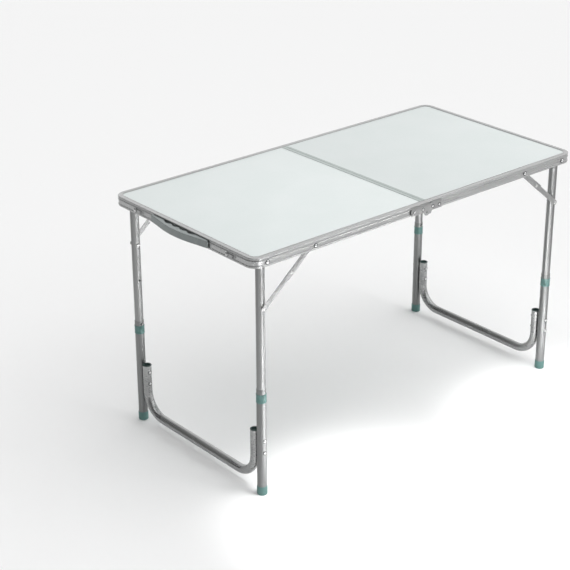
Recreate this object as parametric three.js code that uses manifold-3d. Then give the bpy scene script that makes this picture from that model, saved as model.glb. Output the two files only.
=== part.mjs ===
// Folding picnic table: a laminate top in two aluminium-framed halves that close like a suitcase, with a U-shaped
// leg frame under each half. Millimetres, +Z up. The long side runs along X and the grip is on the -X end.
// The floor is Z = 0 and the origin is under the middle of the whole object's box.
import * as THREE from 'three';
import { mergeVertices } from 'three/addons/utils/BufferGeometryUtils.js';
import Module from 'manifold-3d';

const wasm = await Module();
wasm.setup();

// ---- driving dimensions ----
const TABLE_HEIGHT = 700;
const HALF_LENGTH = 600;            // one half of the open top, along X
const HALF_WIDTH = 300;             // from the middle to a long edge, along Y
const GAP = 0.3;                    // clearance between touching pieces

// Frame rail: a hollow profile with a lip over the board and a ledge under it. Depths run in from the outer face.
const RAIL_HEIGHT = 28;
const CORNER_RADIUS = 32;
const CORNER_STEPS = 4;
const INNER_WALL = 11.7;            // depth of the inner wall
const LIP_DEPTH = 14.7;
const LEDGE_DEPTH = 16;
const LIP_THICKNESS = 0.9;
const BOARD_THICKNESS = 2.4;
const BOARD_SLACK = 0.2;
const LEDGE_THICKNESS = 1;
const WALL = 1.3;

const CENTRE_STRIP = 10;            // visible width of each centre rail
const CENTRE_WEB = 1.5;

// Leg frames.
const LEG_X = 555;
const LEG_Y = 269;
const PIVOT_DROP = 16;              // of the leg and brace pivots, below the table top
const PIVOT_RADIUS = 3;
const PIVOT_HEAD = 5;
const UPPER_RADIUS = 12.2;
const UPPER_BORE = 11.2;
const UPPER_END = 195;              // height of the upper tube's lower end
const LOWER_RADIUS = 13.2;
const LOWER_BORE = 12.4;
const LOWER_TOP = 317;
const COLLAR_RADIUS = 14.2;
const COLLAR_BORE = 13.5;
const COLLAR_BOTTOM = 278;
const COLLAR_TOP = 303;
const FOOT_HEIGHT = 26;
const FOOT_FLOOR = 4;               // thickness of a foot cap's sole
const SLIDE_TRAVEL = 134.5;           // how far the lower frame rises as the legs fold
const TUBE_SIDES = 16;

// Stretcher: the U-bar between two lower legs.
const STRETCHER_Y = 240.5;
const STRETCHER_RADIUS = 12.5;
const STRETCHER_BORE = 11.3;
const STRETCHER_TOP = 185;
const STRETCHER_AXIS = 36;          // height of its level stretch
const STRETCHER_BEND = 69;
const STRETCHER_SIDES = 10;
const STRETCHER_STEPS = 4;
const STRETCHER_RIVETS = [165, 129];
const RIVET_RADIUS = 2.2;

// Lock button.
const BUTTON_HEIGHT = 309;
const BUTTON_RADIUS = 2.6;
const BUTTON_REACH = 17;            // from the leg's axis to the button's face
const BUTTON_TIP = 12.45;

// Folding brace.
const BRACE_X = 395.5;              // its pivot on the rail
const BRACE_ON_LEG = 134.5;         // from the leg's pivot down to the brace's pivot on the leg
const PIVOT_SPAN = LEG_X - BRACE_X;
const BRACE_LENGTH = Math.hypot(PIVOT_SPAN, BRACE_ON_LEG);
const FLAT_FOLD_DIFFERENCE = PIVOT_SPAN - BRACE_ON_LEG;   // lets the two links lie flat along the folded leg
const UPPER_LINK = (BRACE_LENGTH - FLAT_FOLD_DIFFERENCE) / 2;
const LOWER_LINK = (BRACE_LENGTH + FLAT_FOLD_DIFFERENCE) / 2;
const UPPER_LINK_HALF_WIDTH = 8.5;
const LOWER_LINK_HALF_WIDTH = 7.5;
const UPPER_LINK_TAIL = 15.5;       // how far its end's centre lies past the knee
const LOWER_LINK_LAYER = [283.5, 284.7];
const UPPER_LINK_LAYER = [285, 286.4];
const LINK_RIVET = 2.5;
const LINK_RIVET_HEAD = 4.5;
const HEAD_THICKNESS = 1.3;

// Centre hinge, on each long side.
const HINGE_DROP = 28.5;            // of the hinge pin, below the table top
const HINGE_HALF_LENGTH = 58;
const HINGE_SEAM = 16.5;            // X of the seam between the two leaves
const HINGE_RIVET_DROP = 17.5;
const LEFT_LEAF_LAYER = [301.7, 303.1];
const RIGHT_LEAF_LAYER = [300.3, 301.4];
const LEFT_LEAF_RIVETS = [-46, -15];
const RIGHT_LEAF_RIVETS = [24, 48];
const HINGE_RIVET_HEAD = 3.4;
const HINGE_PIN = 2.5;
const HINGE_EAR = 10;               // radius of the left leaf's ear round the pin
const HINGE_EAR_FILLET = 5;
const HINGE_INNER_EAR = 8;
const LEFT_LEAF_DROP = 6.8;         // of each leaf's upper edge, below the table top
const RIGHT_LEAF_DROP = 3.6;

// Grip and latches, on the ends.
const GRIP_HALF_LENGTH = 119;
const GRIP_END_DEPTH = 6;
const GRIP_BOW = 22;                // how far its middle stands out from the rail
const GRIP_GAP_HALF = 68;
const GRIP_BOW_POWER = 1.2;         // above 1, the bow runs out more gently at its ends
const GRIP_BOW_STEPS = 24;
const GRIP_GAP = 2.2;               // between the rail and the ridges that part the finger hollows
const GRIP_TOP_DROP = 3.5;
const GRIP_BOTTOM_DROP = 23.5;
const FINGERS = 4;
const FINGER_PITCH = 32;
const FINGER_DEPTH = 6.3;           // of a hollow, beyond the ridges
const FINGER_STEPS = 6;
const LATCH_Y = 196;
const LATCH_LENGTH = 25;
const LATCH_HALF_WIDTH = 4.4;
const LATCH_LAYER = [600.6, 602.2];
const STUD_REACH = 605;

const PIVOT_HEIGHT = TABLE_HEIGHT - PIVOT_DROP;
const HINGE_HEIGHT = TABLE_HEIGHT - HINGE_DROP;
const GRIP_REACH = HALF_LENGTH + GRIP_BOW;
const SHIFT_X = (GRIP_REACH - STUD_REACH) / 2;   // centres the whole box on the origin

// ---- materials ----
function material(color, roughness, metalness) {
  return new THREE.MeshStandardMaterial({ color, roughness, metalness });
}
const LAMINATE = () => material(0xe6ebea, 0.45, 0);
const ALUMINIUM = () => material(0xb9bcbd, 0.35, 1);
const STEEL = () => material(0x9a9d9f, 0.4, 1);
const TEAL_PLASTIC = () => material(0x6f9a9c, 0.5, 0);
const GREY_PLASTIC = () => material(0x7f8586, 0.55, 0);

// ---- solids ----
function solid(geometry) {
  const plain = geometry.index ? geometry.toNonIndexed() : geometry;
  plain.deleteAttribute('normal');
  plain.deleteAttribute('uv');
  const merged = mergeVertices(plain, 1e-4);
  return new wasm.Manifold(new wasm.Mesh({
    numProp: 3,
    vertProperties: new Float32Array(merged.attributes.position.array),
    triVerts: new Uint32Array(merged.index.array),
  }));
}

const table = new THREE.Group();
table.position.x = SHIFT_X;

function addPart(name, body, finish) {
  const { vertProperties, triVerts } = body.getMesh();
  const geometry = new THREE.BufferGeometry();
  geometry.setAttribute('position', new THREE.BufferAttribute(new Float32Array(vertProperties), 3));
  geometry.setIndex(new THREE.BufferAttribute(new Uint32Array(triVerts), 1));
  geometry.computeVertexNormals();
  const mesh = new THREE.Mesh(geometry, finish);
  mesh.name = name;
  table.add(mesh);
}

function box([x0, y0, z0], [x1, y1, z1]) {
  const geometry = new THREE.BoxGeometry(Math.abs(x1 - x0), Math.abs(y1 - y0), Math.abs(z1 - z0));
  return solid(geometry.translate((x0 + x1) / 2, (y0 + y1) / 2, (z0 + z1) / 2));
}

// Solid cylinders: a pin along Y, a pin along X and a post along Z, each between two coordinates.
function pinY(x, z, radius, y0, y1, sides = 8) {
  const geometry = new THREE.CylinderGeometry(radius, radius, Math.abs(y1 - y0), sides);
  return solid(geometry.translate(x, (y0 + y1) / 2, z));
}

function pinX(y, z, radius, x0, x1, sides = 8) {
  const geometry = new THREE.CylinderGeometry(radius, radius, Math.abs(x1 - x0), sides).rotateZ(Math.PI / 2);
  return solid(geometry.translate((x0 + x1) / 2, y, z));
}

function postZ(x, y, radius, z0, z1) {
  const geometry = new THREE.CylinderGeometry(radius, radius, z1 - z0, TUBE_SIDES).rotateX(Math.PI / 2);
  return solid(geometry.translate(x, y, (z0 + z1) / 2));
}

function tubeZ(x, y, radius, bore, z0, z1) {
  return postZ(x, y, radius, z0, z1).subtract(postZ(x, y, bore, z0 - 1, z1 + 1));
}

// A low dome on a rivet, along Y: base at y0, crown towards the sign of `out`.
function domeY(x, z, radius, y0, out) {
  const height = HEAD_THICKNESS;
  const profile = [new THREE.Vector2(0, 0), new THREE.Vector2(radius, 0)];
  profile.push(new THREE.Vector2(radius * 0.8, height * 0.65), new THREE.Vector2(0, height));
  const geometry = new THREE.LatheGeometry(profile, 8);
  if (out < 0) geometry.rotateX(Math.PI);
  return solid(geometry.translate(x, y0, z));
}

// A flat plate whose outline is drawn in X and Z, lying between two values of Y.
function plateXZ(shape, [y0, y1], curveSegments = 4) {
  const geometry = new THREE.ExtrudeGeometry(shape, { depth: y1 - y0, bevelEnabled: false, curveSegments });
  return solid(geometry.rotateX(Math.PI / 2).translate(0, y1, 0));
}

// A flat plate whose outline is drawn in X and Y, lying between two heights.
function plateXY(shape, z0, z1, curveSegments = 6) {
  const geometry = new THREE.ExtrudeGeometry(shape, { depth: z1 - z0, bevelEnabled: false, curveSegments });
  return solid(geometry.translate(0, 0, z0));
}

// Sweeps a closed section along stations. Each station places a section point [depth, height].
function sweep(section, stations) {
  const flat = section.map(([a, b]) => new THREE.Vector2(a, b));
  const caps = THREE.ShapeUtils.triangulateShape(flat, []);
  const count = section.length;
  const positions = stations.flatMap((place) => section.flatMap((point) => place(point)));
  const index = [];
  for (let s = 0; s + 1 < stations.length; s++) {
    for (let i = 0; i < count; i++) {
      const a = s * count + i;
      const b = s * count + (i + 1) % count;
      index.push(a, b, a + count, b, b + count, a + count);
    }
  }
  const last = (stations.length - 1) * count;
  for (const [a, b, c] of caps) index.push(a, c, b, last + a, last + b, last + c);
  const geometry = new THREE.BufferGeometry();
  geometry.setAttribute('position', new THREE.BufferAttribute(new Float32Array(positions), 3));
  geometry.setIndex(index);
  const body = solid(geometry);
  return body.volume() < 0 ? solid(flipped(geometry)) : body;
}

function flipped(geometry) {
  const copy = geometry.clone();
  const index = Array.from(copy.index.array);
  for (let i = 0; i < index.length; i += 3) [index[i], index[i + 1]] = [index[i + 1], index[i]];
  copy.setIndex(index);
  return copy;
}

function mirrored(body, x, y) {
  return body.mirror([x, y, 0]);
}

// ---- the two halves of the top ----
const LIP_UNDER = -LIP_THICKNESS;
const LEDGE_TOP = LIP_UNDER - BOARD_THICKNESS - 2 * BOARD_SLACK;
const BOARD_TOP = LIP_UNDER - BOARD_SLACK;

// The section is drawn as [depth in from the outer face, height from the table top].
const RAIL_SECTION = [
  [0.8, 0], [0, -0.8], [0, -3.2], [1.2, -3.6], [1.2, -6.3], [0, -9.7], [1, -13], [1, -21], [0, -23.5],
  [1, -RAIL_HEIGHT], [INNER_WALL, -RAIL_HEIGHT],
  [INNER_WALL, LEDGE_TOP - LEDGE_THICKNESS], [LEDGE_DEPTH, LEDGE_TOP - LEDGE_THICKNESS],
  [LEDGE_DEPTH, LEDGE_TOP], [INNER_WALL, LEDGE_TOP], [INNER_WALL, LIP_UNDER], [LIP_DEPTH, LIP_UNDER],
  [LIP_DEPTH, 0],
];
const RAIL_HOLLOW = [
  [1.2 + WALL, -WALL], [1.2 + WALL, WALL - RAIL_HEIGHT], [INNER_WALL - WALL, WALL - RAIL_HEIGHT],
  [INNER_WALL - WALL, -WALL],
];

// Stations of the left half's U: along one long side, round the end, and back, with the ends at X = endX.
function railStations(endX) {
  const place = (x, y, nx, ny) => ([depth, height]) => [x + nx * depth, y + ny * depth, TABLE_HEIGHT + height];
  const stations = [place(endX, -HALF_WIDTH, 0, 1)];
  for (const side of [-1, 1]) {
    for (let i = 0; i <= CORNER_STEPS; i++) {
      const step = side < 0 ? i : CORNER_STEPS - i;
      const angle = (step / CORNER_STEPS) * Math.PI / 2;
      const nx = Math.sin(angle);
      const ny = -side * Math.cos(angle);
      const centreX = CORNER_RADIUS - HALF_LENGTH;
      const centreY = side * (HALF_WIDTH - CORNER_RADIUS);
      stations.push(place(centreX - nx * CORNER_RADIUS, centreY - ny * CORNER_RADIUS, nx, ny));
    }
  }
  stations.push(place(endX, HALF_WIDTH, 0, -1));
  return stations;
}

// Builds a piece for the left half, then mirrors it for the right.
function forBothHalves(make) {
  for (const half of ['left', 'right']) {
    make(half, (body) => (half === 'left' ? body : mirrored(body, 1, 0)), half === 'left' ? -1 : 1);
  }
}

forBothHalves((half, toHalf, sign) => {
  let rail = sweep(RAIL_SECTION, railStations(-GAP)).subtract(sweep(RAIL_HOLLOW, railStations(1)));
  const drill = (x, z, radius, side) => {
    rail = rail.subtract(pinY(x, z, radius, side * (HALF_WIDTH - LEDGE_DEPTH), side * (HALF_WIDTH + 2)));
  };
  const leafRivets = half === 'left' ? LEFT_LEAF_RIVETS : RIGHT_LEAF_RIVETS.map((x) => -x);
  for (const side of [-1, 1]) {
    drill(-LEG_X, PIVOT_HEIGHT, PIVOT_RADIUS + GAP, side);
    drill(-BRACE_X, PIVOT_HEIGHT, LINK_RIVET + GAP, side);
    for (const x of leafRivets) drill(x, TABLE_HEIGHT - HINGE_RIVET_DROP, RIVET_RADIUS + GAP, side);
  }
  for (const y of [-LATCH_Y, LATCH_Y]) {
    rail = rail.subtract(pinX(y, PIVOT_HEIGHT, LINK_RIVET + GAP, -HALF_LENGTH - 2, 8 - HALF_LENGTH));
  }
  addPart(`${half}_frame_rail`, toHalf(rail), ALUMINIUM());

  const inset = INNER_WALL + GAP;
  const radius = CORNER_RADIUS - inset;
  const x0 = inset - HALF_LENGTH;
  const x1 = -GAP - CENTRE_WEB - GAP;
  const y1 = HALF_WIDTH - inset;
  const outline = new THREE.Shape();
  outline.moveTo(x1, -y1);
  outline.lineTo(x1, y1);
  outline.lineTo(x0 + radius, y1);
  outline.absarc(x0 + radius, y1 - radius, radius, Math.PI / 2, Math.PI, false);
  outline.lineTo(x0, radius - y1);
  outline.absarc(x0 + radius, radius - y1, radius, Math.PI, Math.PI * 1.5, false);
  const boardTop = TABLE_HEIGHT + BOARD_TOP;
  // An arc is cut into twice its curveSegments, so the board's corners match the rail's.
  addPart(`${half}_board`, toHalf(plateXY(outline, boardTop - BOARD_THICKNESS, boardTop, CORNER_STEPS / 2)), LAMINATE());

  const webEnd = HALF_WIDTH - LEDGE_DEPTH - GAP;
  const stripEnd = HALF_WIDTH - LIP_DEPTH - GAP;
  const ledgeTop = TABLE_HEIGHT + LEDGE_TOP;
  const bottom = TABLE_HEIGHT - RAIL_HEIGHT;
  const lipUnder = TABLE_HEIGHT + LIP_UNDER;
  const web = box([-GAP - CENTRE_WEB, -webEnd, bottom], [-GAP, webEnd, TABLE_HEIGHT]);
  const ledge = box([-6, -webEnd, ledgeTop - LEDGE_THICKNESS], [-GAP, webEnd, ledgeTop]);
  const strip = box([-CENTRE_STRIP, -stripEnd, lipUnder], [-GAP, stripEnd, TABLE_HEIGHT]);
  addPart(`${half}_centre_rail`, toHalf(web.add(ledge).add(strip)), ALUMINIUM());

  for (const [place, side] of [['near', -1], ['far', 1]]) {
    addLegPivots(half, place, sign, side);
    addLeg(half, place, sign, side);
    addBrace(half, place, sign, side);
  }
  addStretcher(half, sign);
});

// ---- pivots through the rail ----
function addLegPivots(half, place, sign, side) {
  const railInner = HALF_WIDTH - INNER_WALL;
  const legInner = LEG_Y - UPPER_RADIUS;
  const headBase = HALF_WIDTH + GAP;
  const x = sign * LEG_X;
  const shank = pinY(x, PIVOT_HEIGHT, PIVOT_RADIUS, side * (legInner - 2 * GAP), side * (headBase + 0.2));
  const spacer = pinY(x, PIVOT_HEIGHT, PIVOT_HEAD, side * (LEG_Y + UPPER_RADIUS + GAP), side * (railInner - GAP));
  const crown = domeY(x, PIVOT_HEIGHT, PIVOT_HEAD, side * headBase, side);
  const tail = domeY(x, PIVOT_HEIGHT, PIVOT_HEAD, side * (legInner - GAP), -side);
  addPart(`${half}_${place}_leg_pivot`, shank.add(spacer).add(crown).add(tail), STEEL());

  const braceX = sign * BRACE_X;
  const pin = pinY(braceX, PIVOT_HEIGHT, LINK_RIVET, side * UPPER_LINK_LAYER[0], side * (headBase + 0.2));
  const washerLayer = [UPPER_LINK_LAYER[1] + GAP, railInner - GAP];
  const washer = pinY(braceX, PIVOT_HEIGHT, LINK_RIVET_HEAD, side * washerLayer[0], side * washerLayer[1]);
  const head = domeY(braceX, PIVOT_HEIGHT, LINK_RIVET_HEAD, side * headBase, side);
  addPart(`${half}_${place}_brace_pivot`, pin.add(washer).add(head), STEEL());
}

// ---- one leg: upper tube, lower tube, collar, foot cap and lock button ----
function addLeg(half, place, sign, side) {
  const x = sign * LEG_X;
  const y = side * LEG_Y;
  const name = `${half}_${place}`;

  // The upper tube ends in a round nose about its pivot, and is slotted below for the stretcher's rivets.
  const nose = new THREE.Shape();
  nose.absarc(x, PIVOT_HEIGHT, UPPER_RADIUS, 0, Math.PI, false);
  nose.lineTo(x - UPPER_RADIUS, UPPER_END);
  nose.lineTo(x + UPPER_RADIUS, UPPER_END);
  const reach = UPPER_RADIUS + 1;
  const envelope = plateXZ(nose, [y - reach, y + reach]);
  const slotTop = STRETCHER_RIVETS[0] + SLIDE_TRAVEL + RIVET_RADIUS + 2 * GAP;
  const slotHalf = RIVET_RADIUS + GAP;
  const slot = box([x - slotHalf, y - reach, UPPER_END - 1], [x + slotHalf, y + reach, slotTop]);
  let upper = tubeZ(x, y, UPPER_RADIUS, UPPER_BORE, UPPER_END, TABLE_HEIGHT).intersect(envelope).subtract(slot);
  upper = upper.subtract(pinY(x, PIVOT_HEIGHT, PIVOT_RADIUS + GAP, y - reach, y + reach));
  upper = upper.subtract(pinY(x, PIVOT_HEIGHT - BRACE_ON_LEG, LINK_RIVET + GAP, y - reach, y + reach));
  for (const height of [BUTTON_HEIGHT, BUTTON_HEIGHT + SLIDE_TRAVEL]) {
    upper = upper.subtract(pinY(x, height, BUTTON_RADIUS + GAP, y, y - side * reach));
  }
  addPart(`${name}_upper_leg`, upper, ALUMINIUM());

  const lowerReach = LOWER_RADIUS + 1;
  let lower = tubeZ(x, y, LOWER_RADIUS, LOWER_BORE, FOOT_FLOOR + GAP, LOWER_TOP);
  lower = lower.subtract(pinY(x, BUTTON_HEIGHT, BUTTON_RADIUS + GAP, y, y - side * lowerReach));
  for (const height of STRETCHER_RIVETS) {
    lower = lower.subtract(pinY(x, height, RIVET_RADIUS + GAP, y - lowerReach, y + lowerReach));
  }
  addPart(`${name}_lower_leg`, lower, ALUMINIUM());

  addPart(`${name}_collar`, tubeZ(x, y, COLLAR_RADIUS, COLLAR_BORE, COLLAR_BOTTOM, COLLAR_TOP), TEAL_PLASTIC());

  const rim = 1.6;
  const cup = [
    [0, 0], [COLLAR_RADIUS - rim, 0], [COLLAR_RADIUS - 0.4, 0.5], [COLLAR_RADIUS, rim], [COLLAR_RADIUS, FOOT_HEIGHT],
    [COLLAR_BORE, FOOT_HEIGHT], [COLLAR_BORE, FOOT_FLOOR], [0, FOOT_FLOOR],
  ].map(([r, z]) => new THREE.Vector2(r, z));
  const foot = solid(new THREE.LatheGeometry(cup, TUBE_SIDES).rotateX(Math.PI / 2).translate(x, y, 0));
  addPart(`${name}_foot_cap`, foot, TEAL_PLASTIC());

  const face = y - side * (BUTTON_REACH - HEAD_THICKNESS);
  const button = pinY(x, BUTTON_HEIGHT, BUTTON_RADIUS, y - side * BUTTON_TIP, face - side * 0.2);
  addPart(`${name}_lock_button`, button.add(domeY(x, BUTTON_HEIGHT, BUTTON_RADIUS, face, -side)), STEEL());
}

// ---- one folding brace: two flat links in neighbouring layers ----
function roundEndedBar(from, to, halfWidth, layer) {
  const angle = Math.atan2(to[1] - from[1], to[0] - from[0]);
  const outline = new THREE.Shape();
  outline.absarc(to[0], to[1], halfWidth, angle - Math.PI / 2, angle + Math.PI / 2, false);
  outline.absarc(from[0], from[1], halfWidth, angle + Math.PI / 2, angle + Math.PI * 1.5, false);
  return plateXZ(outline, layer, 4);
}

function addBrace(half, place, sign, side) {
  const top = [sign * BRACE_X, PIVOT_HEIGHT];
  const bottom = [sign * LEG_X, PIVOT_HEIGHT - BRACE_ON_LEG];
  const along = (distance) => [0, 1].map((i) => top[i] + (bottom[i] - top[i]) * distance / BRACE_LENGTH);
  const layer = ([low, high]) => (side > 0 ? [low, high] : [-high, -low]);
  const knee = along(UPPER_LINK);

  let upper = roundEndedBar(top, along(UPPER_LINK + UPPER_LINK_TAIL), UPPER_LINK_HALF_WIDTH, layer(UPPER_LINK_LAYER));
  upper = upper.subtract(pinY(...top, LINK_RIVET + GAP, side * 280, side * 290));
  const outer = side * (UPPER_LINK_LAYER[1] - 0.1);
  addPart(`${half}_${place}_upper_brace`, upper.add(domeY(...knee, LINK_RIVET_HEAD, outer, side)), STEEL());

  let lower = roundEndedBar(bottom, knee, LOWER_LINK_HALF_WIDTH, layer(LOWER_LINK_LAYER));
  // Its rivet runs right through the leg, with a head on the leg's inner side as well.
  const legInner = LEG_Y - UPPER_RADIUS - GAP;
  lower = lower.add(pinY(...bottom, LINK_RIVET, side * (legInner - 0.2), side * LOWER_LINK_LAYER[1]));
  lower = lower.add(domeY(...bottom, LINK_RIVET_HEAD, side * legInner, -side));
  lower = lower.add(domeY(...bottom, LINK_RIVET_HEAD, side * (LOWER_LINK_LAYER[1] - 0.1), side));
  addPart(`${half}_${place}_lower_brace`, lower, STEEL());
}

// ---- stretcher, with the rivets that hold it ----
function addStretcher(half, sign) {
  const x = sign * LEG_X;
  const ring = (radius) => Array.from({ length: STRETCHER_SIDES }, (_, i) => {
    const angle = (i / STRETCHER_SIDES) * 2 * Math.PI;
    return [radius * Math.cos(angle), radius * Math.sin(angle)];
  });
  // A station at (y, z) whose section's second axis points along (ny, nz), out of the bend.
  const place = (y, z, ny, nz) => ([a, b]) => [x + a, y + ny * b, z + nz * b];
  const path = (extra) => {
    const stations = [place(-STRETCHER_Y, STRETCHER_TOP + extra, -1, 0)];
    for (const side of [-1, 1]) {
      for (let i = 0; i <= STRETCHER_STEPS; i++) {
        const step = side < 0 ? i : STRETCHER_STEPS - i;
        const angle = (step / STRETCHER_STEPS) * Math.PI / 2;
        const ny = side * Math.cos(angle);
        const nz = -Math.sin(angle);
        const centreY = side * (STRETCHER_Y - STRETCHER_BEND);
        const centreZ = STRETCHER_AXIS + STRETCHER_BEND;
        stations.push(place(centreY + ny * STRETCHER_BEND, centreZ + nz * STRETCHER_BEND, ny, nz));
      }
    }
    stations.push(place(STRETCHER_Y, STRETCHER_TOP + extra, 1, 0));
    return stations;
  };
  let bar = sweep(ring(STRETCHER_RADIUS), path(0)).subtract(sweep(ring(STRETCHER_BORE), path(1)));
  const inner = STRETCHER_Y - STRETCHER_RADIUS;
  const outer = LEG_Y + LOWER_RADIUS;
  for (const side of [-1, 1]) {
    for (const height of STRETCHER_RIVETS) {
      bar = bar.add(pinY(x, height, RIVET_RADIUS, side * (inner - 0.2), side * (outer + 0.5)));
      bar = bar.add(domeY(x, height, LINK_RIVET_HEAD, side * (outer + GAP), side));
      bar = bar.add(domeY(x, height, LINK_RIVET_HEAD, side * inner, -side));
    }
  }
  addPart(`${half}_stretcher`, bar, ALUMINIUM());
}

// ---- centre hinges: two leaves and a pin on each long side ----
function addHinge(place, side) {
  const layer = ([low, high]) => (side > 0 ? [low, high] : [-high, -low]);
  const bottom = TABLE_HEIGHT - RAIL_HEIGHT;
  const rivetHeight = TABLE_HEIGHT - HINGE_RIVET_DROP;
  const fixings = (leaf, xs, sign) => {
    let body = leaf;
    for (const x of xs) {
      const [, face] = sign < 0 ? LEFT_LEAF_LAYER : RIGHT_LEAF_LAYER;
      body = body.add(pinY(x, rivetHeight, RIVET_RADIUS, side * (HALF_WIDTH - 3), side * (face - 0.2)));
      body = body.add(domeY(x, rivetHeight, HINGE_RIVET_HEAD, side * (face - 0.1), side));
    }
    return body;
  };
  const bore = pinY(0, HINGE_HEIGHT, HINGE_PIN + GAP, side * 299, side * 306);

  // The left leaf has a round ear below the rails, filleted into its lower edge on both sides.
  const left = new THREE.Shape();
  const leftTop = TABLE_HEIGHT - LEFT_LEAF_DROP;
  const fillet = HINGE_EAR_FILLET;
  const filletX = Math.sqrt((HINGE_EAR + fillet) ** 2 - (bottom - fillet - HINGE_HEIGHT) ** 2);
  const filletZ = bottom - fillet;
  const meet = Math.atan2(filletZ - HINGE_HEIGHT, filletX);
  left.moveTo(-HINGE_HALF_LENGTH, leftTop);
  left.lineTo(-HINGE_HALF_LENGTH, bottom);
  left.absarc(-filletX, filletZ, fillet, Math.PI / 2, -meet, true);
  left.absarc(0, HINGE_HEIGHT, HINGE_EAR, Math.PI - meet, Math.PI * 2 + meet, false);
  left.absarc(filletX, filletZ, fillet, Math.PI + meet, Math.PI / 2, true);
  left.lineTo(HINGE_SEAM - GAP, bottom);
  left.lineTo(HINGE_SEAM - GAP, leftTop);
  const leftLeaf = plateXZ(left, layer(LEFT_LEAF_LAYER)).subtract(bore);
  addPart(`${place}_hinge_left_leaf`, fixings(leftLeaf, LEFT_LEAF_RIVETS, -1), STEEL());

  // The right leaf has an ear that reaches back to the pin, behind the left leaf.
  const right = new THREE.Shape();
  const rightTop = TABLE_HEIGHT - RIGHT_LEAF_DROP;
  const ear = HINGE_INNER_EAR;
  right.moveTo(HINGE_HALF_LENGTH, bottom);
  right.lineTo(HINGE_HALF_LENGTH, rightTop);
  right.lineTo(HINGE_SEAM, rightTop);
  right.lineTo(HINGE_SEAM, HINGE_HEIGHT + ear);
  right.lineTo(0, HINGE_HEIGHT + ear);
  right.absarc(0, HINGE_HEIGHT, ear, Math.PI / 2, Math.PI * 1.5, false);
  right.lineTo(HINGE_SEAM, HINGE_HEIGHT - ear);
  right.lineTo(HINGE_SEAM + 4, bottom);
  const rightLeaf = plateXZ(right, layer(RIGHT_LEAF_LAYER)).subtract(bore);
  addPart(`${place}_hinge_right_leaf`, fixings(rightLeaf, RIGHT_LEAF_RIVETS, 1), STEEL());

  const pin = pinY(0, HINGE_HEIGHT, HINGE_PIN, side * (HALF_WIDTH + 0.2), side * LEFT_LEAF_LAYER[1]);
  addPart(`${place}_hinge_pin`, pin, STEEL());
}
addHinge('near', -1);
addHinge('far', 1);

// ---- grip: a bow with four finger hollows on its inner side ----
function addGrip() {
  const innerX = -HALF_LENGTH - GAP;
  const outline = new THREE.Shape();
  outline.moveTo(innerX, -GRIP_HALF_LENGTH);
  outline.lineTo(-HALF_LENGTH - GRIP_END_DEPTH, -GRIP_HALF_LENGTH);
  for (let i = 1; i < GRIP_BOW_STEPS; i++) {
    const t = i / GRIP_BOW_STEPS * 2 - 1;
    const bow = GRIP_END_DEPTH + (GRIP_BOW - GRIP_END_DEPTH) * Math.cos(t * Math.PI / 2) ** GRIP_BOW_POWER;
    outline.lineTo(-HALF_LENGTH - bow, t * GRIP_HALF_LENGTH);
  }
  outline.lineTo(-HALF_LENGTH - GRIP_END_DEPTH, GRIP_HALF_LENGTH);
  outline.lineTo(innerX, GRIP_HALF_LENGTH);
  outline.lineTo(innerX, GRIP_GAP_HALF);
  const waveSteps = FINGERS * FINGER_STEPS;
  for (let i = 0; i <= waveSteps; i++) {
    const y = (0.5 - i / waveSteps) * FINGERS * FINGER_PITCH;
    const hollow = FINGER_DEPTH * Math.abs(Math.sin((i / FINGER_STEPS) * Math.PI));
    outline.lineTo(-HALF_LENGTH - GRIP_GAP - hollow, y);
  }
  outline.lineTo(innerX, -GRIP_GAP_HALF);
  const grip = plateXY(outline, TABLE_HEIGHT - GRIP_BOTTOM_DROP, TABLE_HEIGHT - GRIP_TOP_DROP);
  addPart('grip', grip, GREY_PLASTIC());
}
addGrip();

// ---- latches: a hook and its pivot at the grip end, and a catch stud at the other end ----
function headX(y, radius, x0, x1) {
  return pinX(y, PIVOT_HEIGHT, radius, x0, x1);
}

function addLatch(place, y) {
  const z = PIVOT_HEIGHT;
  const halfWidth = LATCH_HALF_WIDTH;
  const [inner, outer] = LATCH_LAYER;
  const arm = new THREE.Shape();
  arm.absarc(0, 0, halfWidth, -Math.PI / 2, Math.PI / 2, false);
  arm.lineTo(-LATCH_LENGTH, halfWidth);
  arm.absarc(-LATCH_LENGTH, 0, halfWidth, Math.PI / 2, Math.PI, false);
  arm.lineTo(-LATCH_LENGTH - halfWidth, -halfWidth);
  arm.lineTo(-LATCH_LENGTH - LINK_RIVET - GAP, -halfWidth);
  arm.absarc(-LATCH_LENGTH, 0, LINK_RIVET + GAP, Math.PI, 0, true);
  arm.lineTo(-LATCH_LENGTH + LINK_RIVET + GAP, -halfWidth);
  const geometry = new THREE.ExtrudeGeometry(arm, { depth: outer - inner, bevelEnabled: false, curveSegments: 4 });
  // The outline's x and y become the table's Y and Z, and its depth runs along X.
  geometry.applyMatrix4(new THREE.Matrix4().makeBasis(
    new THREE.Vector3(0, 1, 0), new THREE.Vector3(0, 0, 1), new THREE.Vector3(1, 0, 0),
  ));
  const hook = solid(geometry.translate(-outer, y, z)).subtract(headX(y, LINK_RIVET + GAP, -outer - 1, 1 - inner));
  addPart(`${place}_latch_hook`, hook, STEEL());

  const pivot = headX(y, LINK_RIVET, -STUD_REACH + 1, -HALF_LENGTH + 4);
  const pivotHead = headX(y, LINK_RIVET_HEAD, -STUD_REACH, -outer - GAP);
  addPart(`${place}_latch_pivot`, pivot.add(pivotHead), STEEL());

  const stud = headX(y, LINK_RIVET, HALF_LENGTH - 4, STUD_REACH - 1);
  addPart(`${place}_catch_stud`, stud.add(headX(y, LINK_RIVET_HEAD, outer + GAP, STUD_REACH)), STEEL());
}
addLatch('near', -LATCH_Y);
addLatch('far', LATCH_Y);

export default table;
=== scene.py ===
"""Looks of the folding picnic table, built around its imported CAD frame.

Blender 4.5, metres, +Z up.
"""

import math

import bmesh
import bpy
from mathutils import Matrix, Vector


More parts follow.
